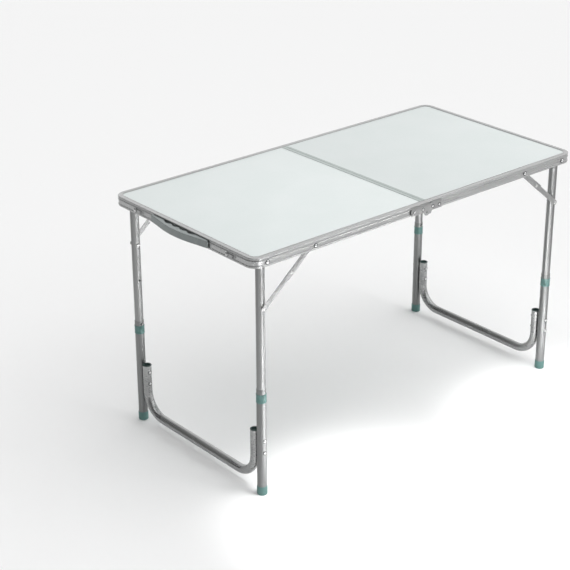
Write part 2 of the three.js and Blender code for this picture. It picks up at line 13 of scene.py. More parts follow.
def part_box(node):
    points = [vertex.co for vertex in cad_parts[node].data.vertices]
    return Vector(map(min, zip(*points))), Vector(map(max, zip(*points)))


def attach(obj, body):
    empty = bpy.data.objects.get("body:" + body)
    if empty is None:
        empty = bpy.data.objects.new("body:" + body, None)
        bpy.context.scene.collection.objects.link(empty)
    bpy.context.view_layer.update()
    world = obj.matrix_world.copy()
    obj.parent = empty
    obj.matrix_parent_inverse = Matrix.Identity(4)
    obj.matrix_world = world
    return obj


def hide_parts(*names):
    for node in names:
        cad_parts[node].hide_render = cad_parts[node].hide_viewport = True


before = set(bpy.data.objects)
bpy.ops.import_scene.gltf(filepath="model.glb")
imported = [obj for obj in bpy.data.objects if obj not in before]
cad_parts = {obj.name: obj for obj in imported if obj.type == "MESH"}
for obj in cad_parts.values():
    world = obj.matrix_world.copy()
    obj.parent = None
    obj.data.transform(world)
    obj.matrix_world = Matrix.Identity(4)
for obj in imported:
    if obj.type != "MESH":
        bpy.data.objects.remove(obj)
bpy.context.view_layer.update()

MM = 0.001
HALVES = {"left": -1, "right": 1}
PLACES = {"near": -1, "far": 1}

# ---- places and sizes, all taken from the frame ----


def middle(node):
    low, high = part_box(node)
    return (low + high) / 2


rail_low, rail_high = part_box("left_frame_rail")
right_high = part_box("right_frame_rail")[1]
TOP = rail_high.z
RAIL_BOTTOM = rail_low.z
CENTRE_X = (rail_low.x + right_high.x) / 2
HALF_LENGTH = right_high.x - CENTRE_X
HALF_WIDTH = rail_high.y
SEAM = CENTRE_X - rail_high.x
leg_low, leg_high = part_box("right_far_upper_leg")
LEG_X = middle("right_far_upper_leg").x - CENTRE_X
LEG_Y = middle("right_far_upper_leg").y
UPPER_RADIUS = (leg_high.x - leg_low.x) / 2
PIVOT_Z = leg_high.z - UPPER_RADIUS
CORNER_RADIUS = 32 * MM
RAIL_DEPTH = 11.7 * MM  # of the rail's box section, from its outer face inwards
SLIDE_TRAVEL = 134.5 * MM  # of a lower frame, up into the upper one
BRACE_DROP = 134.5 * MM  # from a leg's pivot down to the brace's rivet on the leg
STRETCHER_RIVETS = (165 * MM, 129 * MM)  # heights of the rivets that hold a stretcher to a leg
STRETCHER_Y = 240.5 * MM  # of the axis of a stretcher's upright ends
UPPER_LINK_Y = 285 * MM  # inner face of the upper brace links
LOWER_LINK_Y = 283.5 * MM  # inner face of the lower brace links


# ---- materials ----


class Nodes:
    """A short hand for building one material's node tree."""

    def __init__(self, name):
        self.material = bpy.data.materials.new(name)
        self.material.use_nodes = True
        self.tree = self.material.node_tree
        self.shader = self.tree.nodes["Principled BSDF"]

    def add(self, kind, inputs=None, **settings):
        node = self.tree.nodes.new(kind)
        for key, value in settings.items():
            setattr(node, key, value)
        for key, value in (inputs or {}).items():
            self.put(node, key, value)
        return node

    def put(self, node, key, value):
        if isinstance(value, bpy.types.NodeSocket):
            self.tree.links.new(value, node.inputs[key])
        else:
            node.inputs[key].default_value = value

    def set(self, **inputs):
        for key, value in inputs.items():
            self.put(self.shader, key.replace("_", " "), value)

    def place(self, scale):
        """Object coordinates, stretched by scale."""
        coordinates = self.add("ShaderNodeTexCoord")
        return self.add(
            "ShaderNodeMapping", {"Vector": coordinates.outputs["Object"], "Scale": scale}
        ).outputs["Vector"]

    def noise(self, where, scale, detail=3.0, roughness=0.55):
        return self.add(
            "ShaderNodeTexNoise",
            {"Vector": where, "Scale": scale, "Detail": detail, "Roughness": roughness},
        ).outputs["Fac"]

    def ramp(self, factor, stops):
        node = self.add("ShaderNodeValToRGB", {"Fac": factor})
        elements = node.color_ramp.elements
        for element, (position, color) in zip(elements, stops[:2]):
            element.position = position
            element.color = color
        for position, color in stops[2:]:
            elements.new(position).color = color
        return node.outputs["Color"]

    def range(self, factor, low, high):
        node = self.add(
            "ShaderNodeMapRange", {"Value": factor, "To Min": low, "To Max": high}
        )
        return node.outputs["Result"]

    def mix(self, factor, a, b):
        node = self.add("ShaderNodeMix", data_type="RGBA")
        self.put(node, 0, factor)
        self.put(node, 6, a)
        self.put(node, 7, b)
        return node.outputs[2]

    def bump(self, height, strength, distance):
        return self.add(
            "ShaderNodeBump", {"Height": height, "Strength": strength, "Distance": distance}
        ).outputs["Normal"]

    def worn_edges(self, color, bare, amount=0.6):
        """Lightens convex edges, where handling has rubbed the finish."""
        pointiness = self.add("ShaderNodeNewGeometry").outputs["Pointiness"]
        edge = self.ramp(pointiness, [(0.56, (0, 0, 0, 1)), (0.66, (amount, amount, amount, 1))])
        return self.mix(edge, color, bare)

    def shade_recesses(self, color, amount=0.5):
        """Darkens concave edges: painted shade in grooves and recesses."""
        pointiness = self.add("ShaderNodeNewGeometry").outputs["Pointiness"]
        plain, shaded = (1, 1, 1, 1), grey(1 - amount)
        recess_shade = self.ramp(pointiness, [(0.42, shaded), (0.485, plain)])
        node = self.add("ShaderNodeMix", data_type="RGBA", blend_type="MULTIPLY")
        self.put(node, 0, 1.0)
        self.put(node, 6, color)
        self.put(node, 7, recess_shade)
        return node.outputs[2]


def grey(value, tint=(0, 0, 0)):
    return tuple(value + t for t in tint) + (1,)


def laminate():
    """Pale board: a satin film with very faint clouds and a fine pebbled skin."""
    m = Nodes("laminate")
    plain = m.place((1, 1, 1))
    clouds = m.noise(plain, 7, 4)
    fine = m.noise(plain, 160, 2)
    color = m.ramp(clouds, [(0.35, (0.70, 0.755, 0.745, 1)), (0.65, (0.735, 0.78, 0.775, 1))])
    speck = m.ramp(fine, [(0.3, (0.71, 0.76, 0.75, 1)), (0.7, (0.75, 0.79, 0.785, 1))])
    m.set(Base_Color=m.mix(0.4, color, speck))
    m.set(Roughness=m.range(fine, 0.42, 0.52), Specular_IOR_Level=0.35)
    m.set(Normal=m.bump(m.noise(plain, 900, 2), 0.12, 0.0002))
    return m.material


def aluminium(name, stretch, tone, rough, metal, tint=(0, 0.004, 0.004), recess_shade=0.5):
    """Satin aluminium with long drawing lines: stretch is small along the profile's length."""
    bare = (0.8, 0.8, 0.8, 1)
    m = Nodes(name)
    lines = m.noise(m.place(stretch), 260, 2, 0.6)
    patches = m.noise(m.place((1, 1, 1)), 9, 3)
    low, high = grey(tone - 0.035, tint), grey(tone + 0.03, tint)
    stops = [(0.3, low), (0.7, high)]
    color = m.mix(0.35, m.ramp(lines, stops), m.ramp(patches, stops))
    # Concave edges are darkened: painted shade.
    m.set(Base_Color=m.worn_edges(m.shade_recesses(color, recess_shade), bare, 0.35), Metallic=metal)
    m.set(Roughness=m.range(lines, *rough))
    m.set(Normal=m.bump(lines, 0.03, 0.0001))
    return m.material


def zinc_steel(name, tone, rough=(0.28, 0.48)):
    """Zinc-plated steel: a faint spangle and small scratches."""
    m = Nodes(name)
    plain = m.place((1, 1, 1))
    cells = m.add("ShaderNodeTexVoronoi", {"Vector": plain, "Scale": 260}).outputs["Color"]
    spangle = m.add("ShaderNodeSeparateColor", {"Color": cells}).outputs["Red"]
    wear = m.noise(plain, 60, 4)
    color = m.ramp(spangle, [(0.0, grey(tone - 0.02)), (1.0, grey(tone + 0.02, (0, 0.004, 0.006)))])
    m.set(Base_Color=m.worn_edges(color, (0.75, 0.75, 0.74, 1), 0.5), Metallic=1.0)
    m.set(Roughness=m.range(wear, *rough), Normal=m.bump(wear, 0.08, 0.0002))
    return m.material


def moulded(name, low, high, rough=(0.38, 0.52)):
    """Moulded plastic with a fine spark-eroded grain and lighter rubbed edges."""
    m = Nodes(name)
    plain = m.place((1, 1, 1))
    tone = m.noise(plain, 35, 3)
    grain = m.noise(plain, 1500, 2)
    color = m.ramp(tone, [(0.3, low), (0.7, high)])
    lighter = tuple(min(1, c * 1.35) for c in high[:3]) + (1,)
    m.set(Base_Color=m.worn_edges(color, lighter, 0.5))
    m.set(Roughness=m.range(tone, *rough), Normal=m.bump(grain, 0.15, 0.00015))
    return m.material


BOARD = laminate()
# The rail's grooves get the deepest painted shade.
RAIL_ALONG_X = aluminium("rail_aluminium", (0.02, 1, 1), 0.39, (0.24, 0.32), 0.92, recess_shade=0.75)
CENTRE_ALUMINIUM = aluminium(
    "centre_aluminium", (1, 0.02, 1), 0.4, (0.34, 0.46), 0.6, tint=(-0.03, 0.03, 0.012)
)
TUBE = aluminium("tube_aluminium", (1, 1, 0.02), 0.2, (0.26, 0.34), 0.95)
# The stretchers are the legs' aluminium in a lighter tone: painted light.
CROSS_TUBE = aluminium("stretcher_aluminium", (1, 0.03, 1), 0.33, (0.24, 0.32), 0.85)
STEEL = zinc_steel("zinc_steel", 0.34)
DARK_STEEL = zinc_steel("dark_steel", 0.1)
RIVET = zinc_steel("rivet_steel", 0.62, (0.1, 0.16))
# Black for the rings round rivet heads and lock buttons: painted shadow.
SHADOW_BLACK = moulded("shadow_black", (0.02, 0.024, 0.024, 1), (0.032, 0.036, 0.036, 1))
PLUG = moulded("plug_plastic", (0.032, 0.06, 0.055, 1), (0.045, 0.078, 0.072, 1))
TEAL = moulded("teal_plastic", (0.088, 0.195, 0.18, 1), (0.112, 0.23, 0.215, 1))
GREY = moulded("grey_plastic", (0.225, 0.25, 0.25, 1), (0.265, 0.292, 0.29, 1))


# ---- mesh tools ----


def finish_mesh(name, mesh, material, body, sharp=35):
    """Puts a mesh in the scene, on its body. A list gives one material to each joined group."""
    finishes = material if isinstance(material, (list, tuple)) else [material]
    for finish in finishes:
        mesh.materials.append(finish)
    mesh.shade_smooth()
    mesh.set_sharp_from_angle(angle=math.radians(sharp))
    piece = bpy.data.objects.new(name, mesh)
    bpy.context.scene.collection.objects.link(piece)
    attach(piece, body)
    return piece


def mesh_from(bm, name):
    bmesh.ops.remove_doubles(bm, verts=bm.verts, dist=1e-7)
    bmesh.ops.recalc_face_normals(bm, faces=bm.faces)
    mesh = bpy.data.meshes.new(name)
    bm.to_mesh(mesh)
    bm.free()
    return mesh


def join(*meshes, second=(), third=()):
    """One mesh from several. Those in second and third take those materials of the piece."""
    bm = bmesh.new()
    for index, group in enumerate((meshes, second, third)):
        first = len(bm.faces)
        for mesh in group:
            bm.from_mesh(mesh)
        bm.faces.ensure_lookup_table()
        for face in bm.faces[first:]:
            face.material_index = index
    return mesh_from(bm, meshes[0].name)


def sweep_mesh(name, section, stations, closed_section=True, capped=True):
    """Lofts one section along stations; each station turns a section point into a place."""
    bm = bmesh.new()
    shadow_rings = [[bm.verts.new(place(point)) for point in section] for place in stations]
    count = len(section)
    for a, b in zip(shadow_rings, shadow_rings[1:]):
        for i in range(count if closed_section else count - 1):
            j = (i + 1) % count
            bm.faces.new((a[i], a[j], b[j], b[i]))
    if capped:
        bm.faces.new(shadow_rings[0])
        bm.faces.new(shadow_rings[-1])
    return mesh_from(bm, name)


def lathe_mesh(name, profile, origin, axis, segments=48):
    """Turns a profile of (radius, distance along axis) about a line through origin."""
    axis = Vector(axis).normalized()
    side = axis.orthogonal().normalized()
    other = axis.cross(side)
    bm = bmesh.new()
    origin = Vector(origin)
    shadow_rings = []
    for radius, along in profile:
        if radius < 1e-9:
            shadow_rings.append([bm.verts.new(origin + axis * along)])
            continue
        ring = []
        for i in range(segments):
            angle = 2 * math.pi * i / segments
            out = side * math.cos(angle) + other * math.sin(angle)
            ring.append(bm.verts.new(origin + axis * along + out * radius))
        shadow_rings.append(ring)
    for a, b in zip(shadow_rings, shadow_rings[1:]):
        for i in range(segments):
            j = (i + 1) % segments
            corners = [a[i % len(a)], a[j % len(a)], b[j % len(b)], b[i % len(b)]]
            unique = list(dict.fromkeys(corners))
            if len(unique) > 2:
                bm.faces.new(unique)
    return mesh_from(bm, name)


def plate_mesh(name, outline, low, high, place, bevel=0.25 * MM, holes=()):
    """A flat plate with bevelled edges. place turns (a, b, thickness) into a position."""
    bm = bmesh.new()
    edges = []
    for loop in [outline, *holes]:
        verts = [bm.verts.new((a, b, low)) for a, b in loop]
        edges += [bm.edges.new((u, v)) for u, v in zip(verts, verts[1:] + verts[:1])]
    bmesh.ops.triangle_fill(bm, edges=edges, use_beauty=True)
    bmesh.ops.dissolve_limit(bm, angle_limit=0.01, verts=bm.verts, edges=bm.edges)
    raised = bmesh.ops.extrude_face_region(bm, geom=bm.faces[:])
    for item in raised["geom"]:
        if isinstance(item, bmesh.types.BMVert):
            item.co.z = high
    bmesh.ops.recalc_face_normals(bm, faces=bm.faces)
    if bevel:
        rim = [e for e in bm.edges if len(e.link_faces) == 2 and e.calc_face_angle(0) > 1.2]
        flat = [e for e in rim if abs(e.verts[0].co.z - e.verts[1].co.z) < 1e-9]
        bmesh.ops.bevel(bm, geom=flat, offset=bevel, segments=2, affect="EDGES", profile=0.6)
    for vert in bm.verts:
        vert.co = place(*vert.co)
    return mesh_from(bm, name)


def dome(origin, axis, radius, height, lip=0.3 * MM, segments=28):
    """A rivet head: a short rim under a crown."""
    steps = 6
    profile = [(0, -lip), (radius, -lip), (radius, 0)]
    for i in range(1, steps):
        angle = math.pi / 2 * i / steps
        profile.append((radius * math.cos(angle), height * math.sin(angle)))
    profile.append((0, height))
    return lathe_mesh("dome", profile, origin, axis, segments)


def rod(origin, axis, radius, length, segments=28):
    profile = [(0, 0), (radius, 0), (radius, length), (0, length)]
    return lathe_mesh("rod", profile, origin, axis, segments)


def shadow_ring(origin, axis, inner, outer, thick=0.35 * MM, sunk=0.3 * MM, segments=28):
    """A thin flat ring under a rivet head; made black, it is a painted shadow round the head."""
    profile = [
        (inner, -sunk), (outer, -sunk), (outer, thick * 0.6), (outer - thick * 0.4, thick),
        (inner, thick), (inner, -sunk),
    ]
    return lathe_mesh("shadow_ring", profile, origin, axis, segments)


def ring_around(center, radius, steps=24):
    return [
        (
            center[0] + radius * math.cos(2 * math.pi * i / steps),
            center[1] + radius * math.sin(2 * math.pi * i / steps),
        )
        for i in range(steps)
    ]


def arc(center, radius, start, end, steps=10):
    """Points from start to end, in degrees."""
    points = []
    for i in range(steps + 1):
        angle = math.radians(start + (end - start) * i / steps)
        points.append((center[0] + radius * math.cos(angle), center[1] + radius * math.sin(angle)))
    return points


# ---- frame rails ----


def bead(depth, top, bottom, bulge, steps=6):
    """A convex bead of the rail's face, from top down to bottom."""
    points = []
    for i in range(steps + 1):
        t = i / steps
        points.append((depth - bulge * math.sin(math.pi * t), top + (bottom - top) * t))
    return points


def rail_section():
    """Outline of the rail as (depth from its outer face, height below the top), in metres."""
    wall, lip, ledge = RAIL_DEPTH / MM, 14.7, 16.0
    outline = [(lip, -0.9), (lip, -0.25), (lip - 0.3, 0), (2.2, 0)]
    outline += [(0.9, -0.25), (0.25, -0.85), (0, -1.7), (0, -2.9)]
    outline += [(0.3, -3.3), (1.1, -3.6), (1.3, -4.2), (1.3, -5.8), (1.1, -6.4)]
    outline += bead(0.9, -6.9, -12.6, 0.85)
    outline += [(1.15, -12.9), (1.2, -13.3), (1.2, -20.8), (1.15, -21.2)]
    outline += bead(0.9, -21.5, -25.6, 0.75)
    outline += [(1.1, -25.9), (1.0, -26.6), (1.2, -27.6), (1.8, -28), (11.2, -28), (wall, -27.5)]
    outline += [(wall, -4.7), (ledge, -4.7), (ledge, -3.7), (wall, -3.7), (wall, -0.9)]
    return [(depth * MM, height * MM) for depth, height in outline]


def rail_hollow():
    corners = [(2.6, -1.4), (2.6, -26.7), (10.4, -26.7), (10.4, -1.4)]
    return [(depth * MM, height * MM) for depth, height in corners]


def rail_stations(sign, end_x, steps=14):
    """Stations round one half's U, from the near end at the middle to the far one."""

    def place(x, y, nx, ny):
        return lambda point: (
            CENTRE_X + sign * (x + nx * point[0]), y + ny * point[0], TOP + point[1],
        )

    stations = [place(end_x, -HALF_WIDTH, 0, 1)]
    for side in (-1, 1):
        for i in range(steps + 1):
            angle = math.pi / 2 * (i if side < 0 else steps - i) / steps
            nx, ny = -math.sin(angle), -side * math.cos(angle)
            center_x = HALF_LENGTH - CORNER_RADIUS
            center_y = side * (HALF_WIDTH - CORNER_RADIUS)
            stations.append(
                place(center_x - nx * CORNER_RADIUS, center_y - ny * CORNER_RADIUS, nx, ny)
            )
    stations.append(place(end_x, HALF_WIDTH, 0, -1))
    return stations


def build_rail(half, sign):
    body = f"{half}_half"
    stations = rail_stations(sign, SEAM)
    outer = rail_section()
    hollow = rail_hollow()
    skin = sweep_mesh("rail", outer, stations, capped=False)
    bore = sweep_mesh("bore", hollow, stations, capped=False)
    bm = bmesh.new()
    bm.from_mesh(skin)
    bm.from_mesh(bore)
    # The two cut ends are closed with a face that leaves the hollow open.
    for place in (stations[0], stations[-1]):
        edges = []
        for loop in (outer, hollow):
            places = [Vector(place(point)) for point in loop]
            verts = [min(bm.verts, key=lambda v, p=p: (v.co - p).length_squared) for p in places]
            for u, v in zip(verts, verts[1:] + verts[:1]):
                edges.append(bm.edges.get((u, v)) or bm.edges.new((u, v)))
        bmesh.ops.triangle_fill(bm, edges=edges, use_beauty=True)
    mesh = mesh_from(bm, f"{half}_rail_skin")
    piece = finish_mesh(f"{half}_rail_skin", mesh, RAIL_ALONG_X, body, 40)
    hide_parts(f"{half}_frame_rail")


# ---- boards and centre rails ----


def build_board(half, sign):
    low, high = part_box(f"{half}_board")
    radius = CORNER_RADIUS - 12 * MM
    inner = min(abs(low.x - CENTRE_X), abs(high.x - CENTRE_X))
    outer = max(abs(low.x - CENTRE_X), abs(high.x - CENTRE_X))
    outline = [(inner, -high.y), (outer - radius, -high.y)]
    outline += arc((outer - radius, radius - high.y), radius, -90, 0)
    outline += arc((outer - radius, high.y - radius), radius, 0, 90)
    outline += [(inner, high.y)]
    place = lambda a, b, c: (CENTRE_X + sign * a, b, c)
    mesh = plate_mesh(f"{half}_board_skin", outline, low.z, high.z, place, 0.3 * MM)
    piece = finish_mesh(f"{half}_board_skin", mesh, BOARD, f"{half}_half")
    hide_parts(f"{half}_board")


def build_centre_rail(half, sign):
    low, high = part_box(f"{half}_centre_rail")
    width = high.x - low.x
    web, ledge = 1.5, 5.7
    section = [(0, -28), (web, -28), (web, -4.7), (ledge, -4.7), (ledge, -3.7), (web, -3.7)]
    section = [(a * MM, b * MM) for a, b in section + [(web, -0.9)]]
    section += [(width, -0.9 * MM), (width, -0.3 * MM), (width - 0.3 * MM, 0)]
    section += [(0.9 * MM, 0), (0.25 * MM, -0.25 * MM), (0, -0.9 * MM)]
    end = high.y

    def place(y, reach):
        return lambda p: (
            CENTRE_X + sign * (SEAM + p[0]), y if p[1] > -1 * MM else reach, TOP + p[1],
        )

    stations = [place(-end, -end + 1.3 * MM), place(end, end - 1.3 * MM)]
    mesh = sweep_mesh(f"{half}_centre_skin", section, stations)
    piece = finish_mesh(f"{half}_centre_skin", mesh, CENTRE_ALUMINIUM, f"{half}_half")
    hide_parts(f"{half}_centre_rail")


# ---- tubes ----


def tube_profile(radius, bore, low, high, edge=0.25 * MM):
    """A tube wall as a closed turning profile, with broken edges."""
    return [
        (bore, low + edge), (bore + edge, low), (radius - edge, low), (radius, low + edge),
        (radius, high - edge), (radius - edge, high), (bore + edge, high), (bore, high - edge),
        (bore, low + edge),
    ]


def cut(piece, *cutters):
    """Cuts other meshes out of a piece, for good."""
    for cutter in cutters:
        tool = bpy.data.objects.new("cutter", cutter)
        bpy.context.scene.collection.objects.link(tool)
        modifier = piece.modifiers.new("cut", "BOOLEAN")
        modifier.operation = "DIFFERENCE"
        modifier.object = tool
        modifier.solver = "EXACT"
        bpy.context.view_layer.update()
        evaluated = piece.evaluated_get(bpy.context.evaluated_depsgraph_get())
        mesh = bpy.data.meshes.new_from_object(evaluated)
        piece.modifiers.clear()
        piece.data = mesh
        bpy.data.objects.remove(tool)
    piece.data.set_sharp_from_angle(angle=math.radians(35))
    return piece


def build_leg(half, place, sign, side):
    x = CENTRE_X + sign * LEG_X
    y = side * LEG_Y
    name = f"{half}_{place}"
    center = Vector((x, y, 0))
    up = (0, 0, 1)

    # Upper tube: its top is a round nose about the pivot.
    low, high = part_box(f"{name}_upper_leg")
    steps = 64
    bm = bmesh.new()
    bore = UPPER_RADIUS - 1.0 * MM
    for radius in (UPPER_RADIUS, bore):
        bottom, top = [], []
        for i in range(steps):
            angle = 2 * math.pi * i / steps
            across = radius * math.cos(angle)
            nose = math.sqrt(max(0, UPPER_RADIUS**2 - min(abs(across), UPPER_RADIUS) ** 2))
            spot = (x + across, y + radius * math.sin(angle))
            bottom.append(bm.verts.new((*spot, low.z)))
            top.append(bm.verts.new((*spot, PIVOT_Z + nose)))
        if radius == UPPER_RADIUS:
            outer_bottom, outer_top = bottom, top
    for i in range(steps):
        j = (i + 1) % steps
        bm.faces.new((outer_bottom[i], outer_bottom[j], outer_top[j], outer_top[i]))
        bm.faces.new((bottom[j], bottom[i], top[i], top[j]))
        bm.faces.new((outer_top[i], outer_top[j], top[j], top[i]))
        bm.faces.new((outer_bottom[j], outer_bottom[i], bottom[i], bottom[j]))
    mesh = mesh_from(bm, f"{name}_upper_tube")
    piece = finish_mesh(f"{name}_upper_tube", mesh, TUBE, f"{half}_upper_frame")
    button = middle(f"{name}_lock_button")
    holes = [button.z, button.z + SLIDE_TRAVEL]
    cutters = [rod((x, y, z), (0, -side, 0), 3 * MM, 20 * MM) for z in holes]
    for height, hole in ((PIVOT_Z, 3.3 * MM), (PIVOT_Z - BRACE_DROP, 2.8 * MM)):
        cutters.append(rod((x, y - 20 * MM, height), (0, 1, 0), hole, 40 * MM))
    # Open slots below pass the stretcher's rivets when the lower frame slides up.
    slot_top, slot_half = STRETCHER_RIVETS[0] + SLIDE_TRAVEL + 3.1 * MM, 2.8 * MM
    slot_end = low.z - 1 * MM
    slot = [(-slot_half, slot_end), (slot_half, slot_end), (slot_half, slot_top), (-slot_half, slot_top)]
    across = lambda a, b, c: (x + a, y + c, b)
    cutters.append(plate_mesh("slot", slot, -20 * MM, 20 * MM, across, 0))
    cut(piece, *cutters)
    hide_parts(f"{name}_upper_leg")

    # Lower tube, wide enough to slide over the upper one.
    low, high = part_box(f"{name}_lower_leg")
    radius = (high.x - low.x) / 2
    wall = tube_profile(radius, radius - 0.8 * MM, low.z, high.z)
    mesh = lathe_mesh(f"{name}_lower_tube", wall, center, up, 64)
    piece = finish_mesh(f"{name}_lower_tube", mesh, TUBE, f"{half}_lower_frame")
    cut(piece, rod((x, y, button.z), (0, -side, 0), 2.9 * MM, 20 * MM))
    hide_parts(f"{name}_lower_leg")

    # Collar: a plastic ring with two raised lips.
    low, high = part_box(f"{name}_collar")
    radius = (high.x - low.x) / 2
    inner = radius - 0.7 * MM
    tall = high.z - low.z
    outline = [(inner, 0), (radius - 0.5 * MM, 0), (radius, 0.5 * MM), (radius, 2.4 * MM)]
    outline += [(radius - 0.35 * MM, 3.0 * MM), (radius - 0.35 * MM, tall - 3.0 * MM)]
    outline += [(radius, tall - 2.4 * MM), (radius, tall - 0.5 * MM), (radius - 0.5 * MM, tall)]
    outline += [(inner, tall), (inner, 0)]
    mesh = lathe_mesh(f"{name}_collar_ring", outline, (x, y, low.z), up, 64)
    body = f"{half}_lower_frame"
    piece = finish_mesh(f"{name}_collar_ring", mesh, TEAL, body, 50)
    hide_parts(f"{name}_collar")

    # Foot cap: a closed cup with a round tread.
    low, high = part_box(f"{name}_foot_cap")
    tall = high.z
    rim = 2.2 * MM
    sole = [(0, 0.25 * MM), (radius * 0.45, 0.25 * MM), (radius * 0.5, 0), (radius - rim, 0)]
    for i in range(1, 7):
        angle = math.pi / 2 * i / 6
        sole.append((radius - rim + rim * math.sin(angle), rim - rim * math.cos(angle)))
    neck = radius - 0.3 * MM
    sole += [(radius, tall - 3 * MM), (neck, tall - 2.6 * MM), (neck, tall - 0.5 * MM)]
    sole += [(radius - 0.5 * MM, tall), (inner, tall), (inner, 4 * MM), (0, 4 * MM)]
    mesh = lathe_mesh(f"{name}_foot", sole, center, up, 64)
    piece = finish_mesh(f"{name}_foot", mesh, TEAL, f"{half}_lower_frame", 50)
    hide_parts(f"{name}_foot_cap")

    # Lock button.
    low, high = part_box(f"{name}_lock_button")
    inner_y = low.y if side < 0 else high.y
    reach = high.y - low.y
    start = Vector((x, inner_y, button.z))
    crown = 1.4 * MM
    stem = join(
        rod(start, (0, -side, 0), 2.6 * MM, reach - crown),
        dome(start + Vector((0, -side * (reach - crown), 0)), (0, -side, 0), 2.6 * MM, crown, 0),
    )
    stem.name = f"{name}_button"
    piece = finish_mesh(f"{name}_button", stem, RIVET, f"{half}_{place}_lock_button")
    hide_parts(f"{name}_lock_button")
    # A black ring round the button's hole: painted shadow.
    shade_at = Vector((x, y - side * (radius - 1.2 * MM), button.z))
    ring = shadow_ring(shade_at, (0, -side, 0), 2.9 * MM, 4.6 * MM, 0.4 * MM, 1 * MM)
    finish_mesh(f"{name}_button_shade_ring", ring, SHADOW_BLACK, f"{half}_lower_frame")


# ---- stretchers ----


def build_stretcher(half, sign):
    low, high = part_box(f"{half}_stretcher")
    x = CENTRE_X + sign * LEG_X
    radius, bore, bend = 12.5 * MM, 11.3 * MM, 69 * MM
    axis_y = STRETCHER_Y
    axis_z = low.z + radius
    top = high.z
    steps, sides = 14, 48

    def ring(r):
        return [
            (r * math.cos(2 * math.pi * i / sides), r * math.sin(2 * math.pi * i / sides))
            for i in range(sides)
        ]

    def place(y, z, ny, nz):
        return lambda p: (x + p[0], y + ny * p[1], z + nz * p[1])

    stations = [place(-axis_y, top, -1, 0)]
    for side in (-1, 1):
        for i in range(steps + 1):
            angle = math.pi / 2 * (i if side < 0 else steps - i) / steps
            ny, nz = side * math.cos(angle), -math.sin(angle)
            center_y, center_z = side * (axis_y - bend), axis_z + bend
            stations.append(place(center_y + ny * bend, center_z + nz * bend, ny, nz))
    stations.append(place(axis_y, top, 1, 0))
    bm = bmesh.new()
    bm.from_mesh(sweep_mesh("outer", ring(radius), stations, capped=False))
    bm.from_mesh(sweep_mesh("inner", ring(bore), stations, capped=False))
    bm.verts.ensure_lookup_table()
    for end in (stations[0], stations[-1]):
        pairs = []
        for point, deep in zip(ring(radius), ring(bore)):
            pair = []
            for spot in (Vector(end(point)), Vector(end(deep))):
                pair.append(min(bm.verts, key=lambda v, s=spot: (v.co - s).length_squared))
            pairs.append(pair)
        for a, b in zip(pairs, pairs[1:] + pairs[:1]):
            bm.faces.new((a[0], b[0], b[1], a[1]))
    mesh = mesh_from(bm, f"{half}_stretcher_tube")
    piece = finish_mesh(f"{half}_stretcher_tube", mesh, CROSS_TUBE, f"{half}_lower_frame")
    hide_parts(f"{half}_stretcher")

    outer = LEG_Y + 13.2 * MM
    inner = axis_y - radius
    for place_name, side in PLACES.items():
        out = Vector((0, side, 0))
        plug = [(0, -5), (9.2, -5), (9.8, 0.9), (11.6, 1.2), (12.9, 0.6), (12.9, -0.2)]
        plug += [(11, -0.25), (11, -14), (0, -14)]
        profile = [(r * MM, h * MM) for r, h in plug]
        mesh = lathe_mesh("plug", profile, (x, side * axis_y, top + 0.3 * MM), (0, 0, 1), 40)
        name, body = f"{half}_{place_name}_stretcher", f"{half}_lower_frame"
        finish_mesh(f"{name}_plug", mesh, PLUG, body, 50)
        for index, height in enumerate(STRETCHER_RIVETS):
            near_leg = Vector((x, side * outer, height))
            near_bar = Vector((x, side * inner, height))
            shank = rod(near_bar, out, 2.2 * MM, outer - inner)
            between = Vector((x, side * (axis_y + radius - 1 * MM), height))
            spacer = rod(between, out, 4 * MM, 4.6 * MM)
            heads = (
                dome(near_leg, out, 4.6 * MM, 1.9 * MM),
                dome(near_bar, -out, 4.6 * MM, 1.7 * MM),
            )
            # Black rings round both heads: painted shadow.
            shadow_rings = (
                shadow_ring(near_leg, out, 4.7 * MM, 6 * MM, sunk=0.9 * MM),
                shadow_ring(near_bar, -out, 4.7 * MM, 6 * MM, sunk=1.5 * MM),
            )
            rivet = join(shank, spacer, second=heads, third=shadow_rings)
            finish_mesh(f"{name}_rivet_{index + 1}", rivet, [STEEL, RIVET, SHADOW_BLACK], body)


# ---- pivots and braces ----


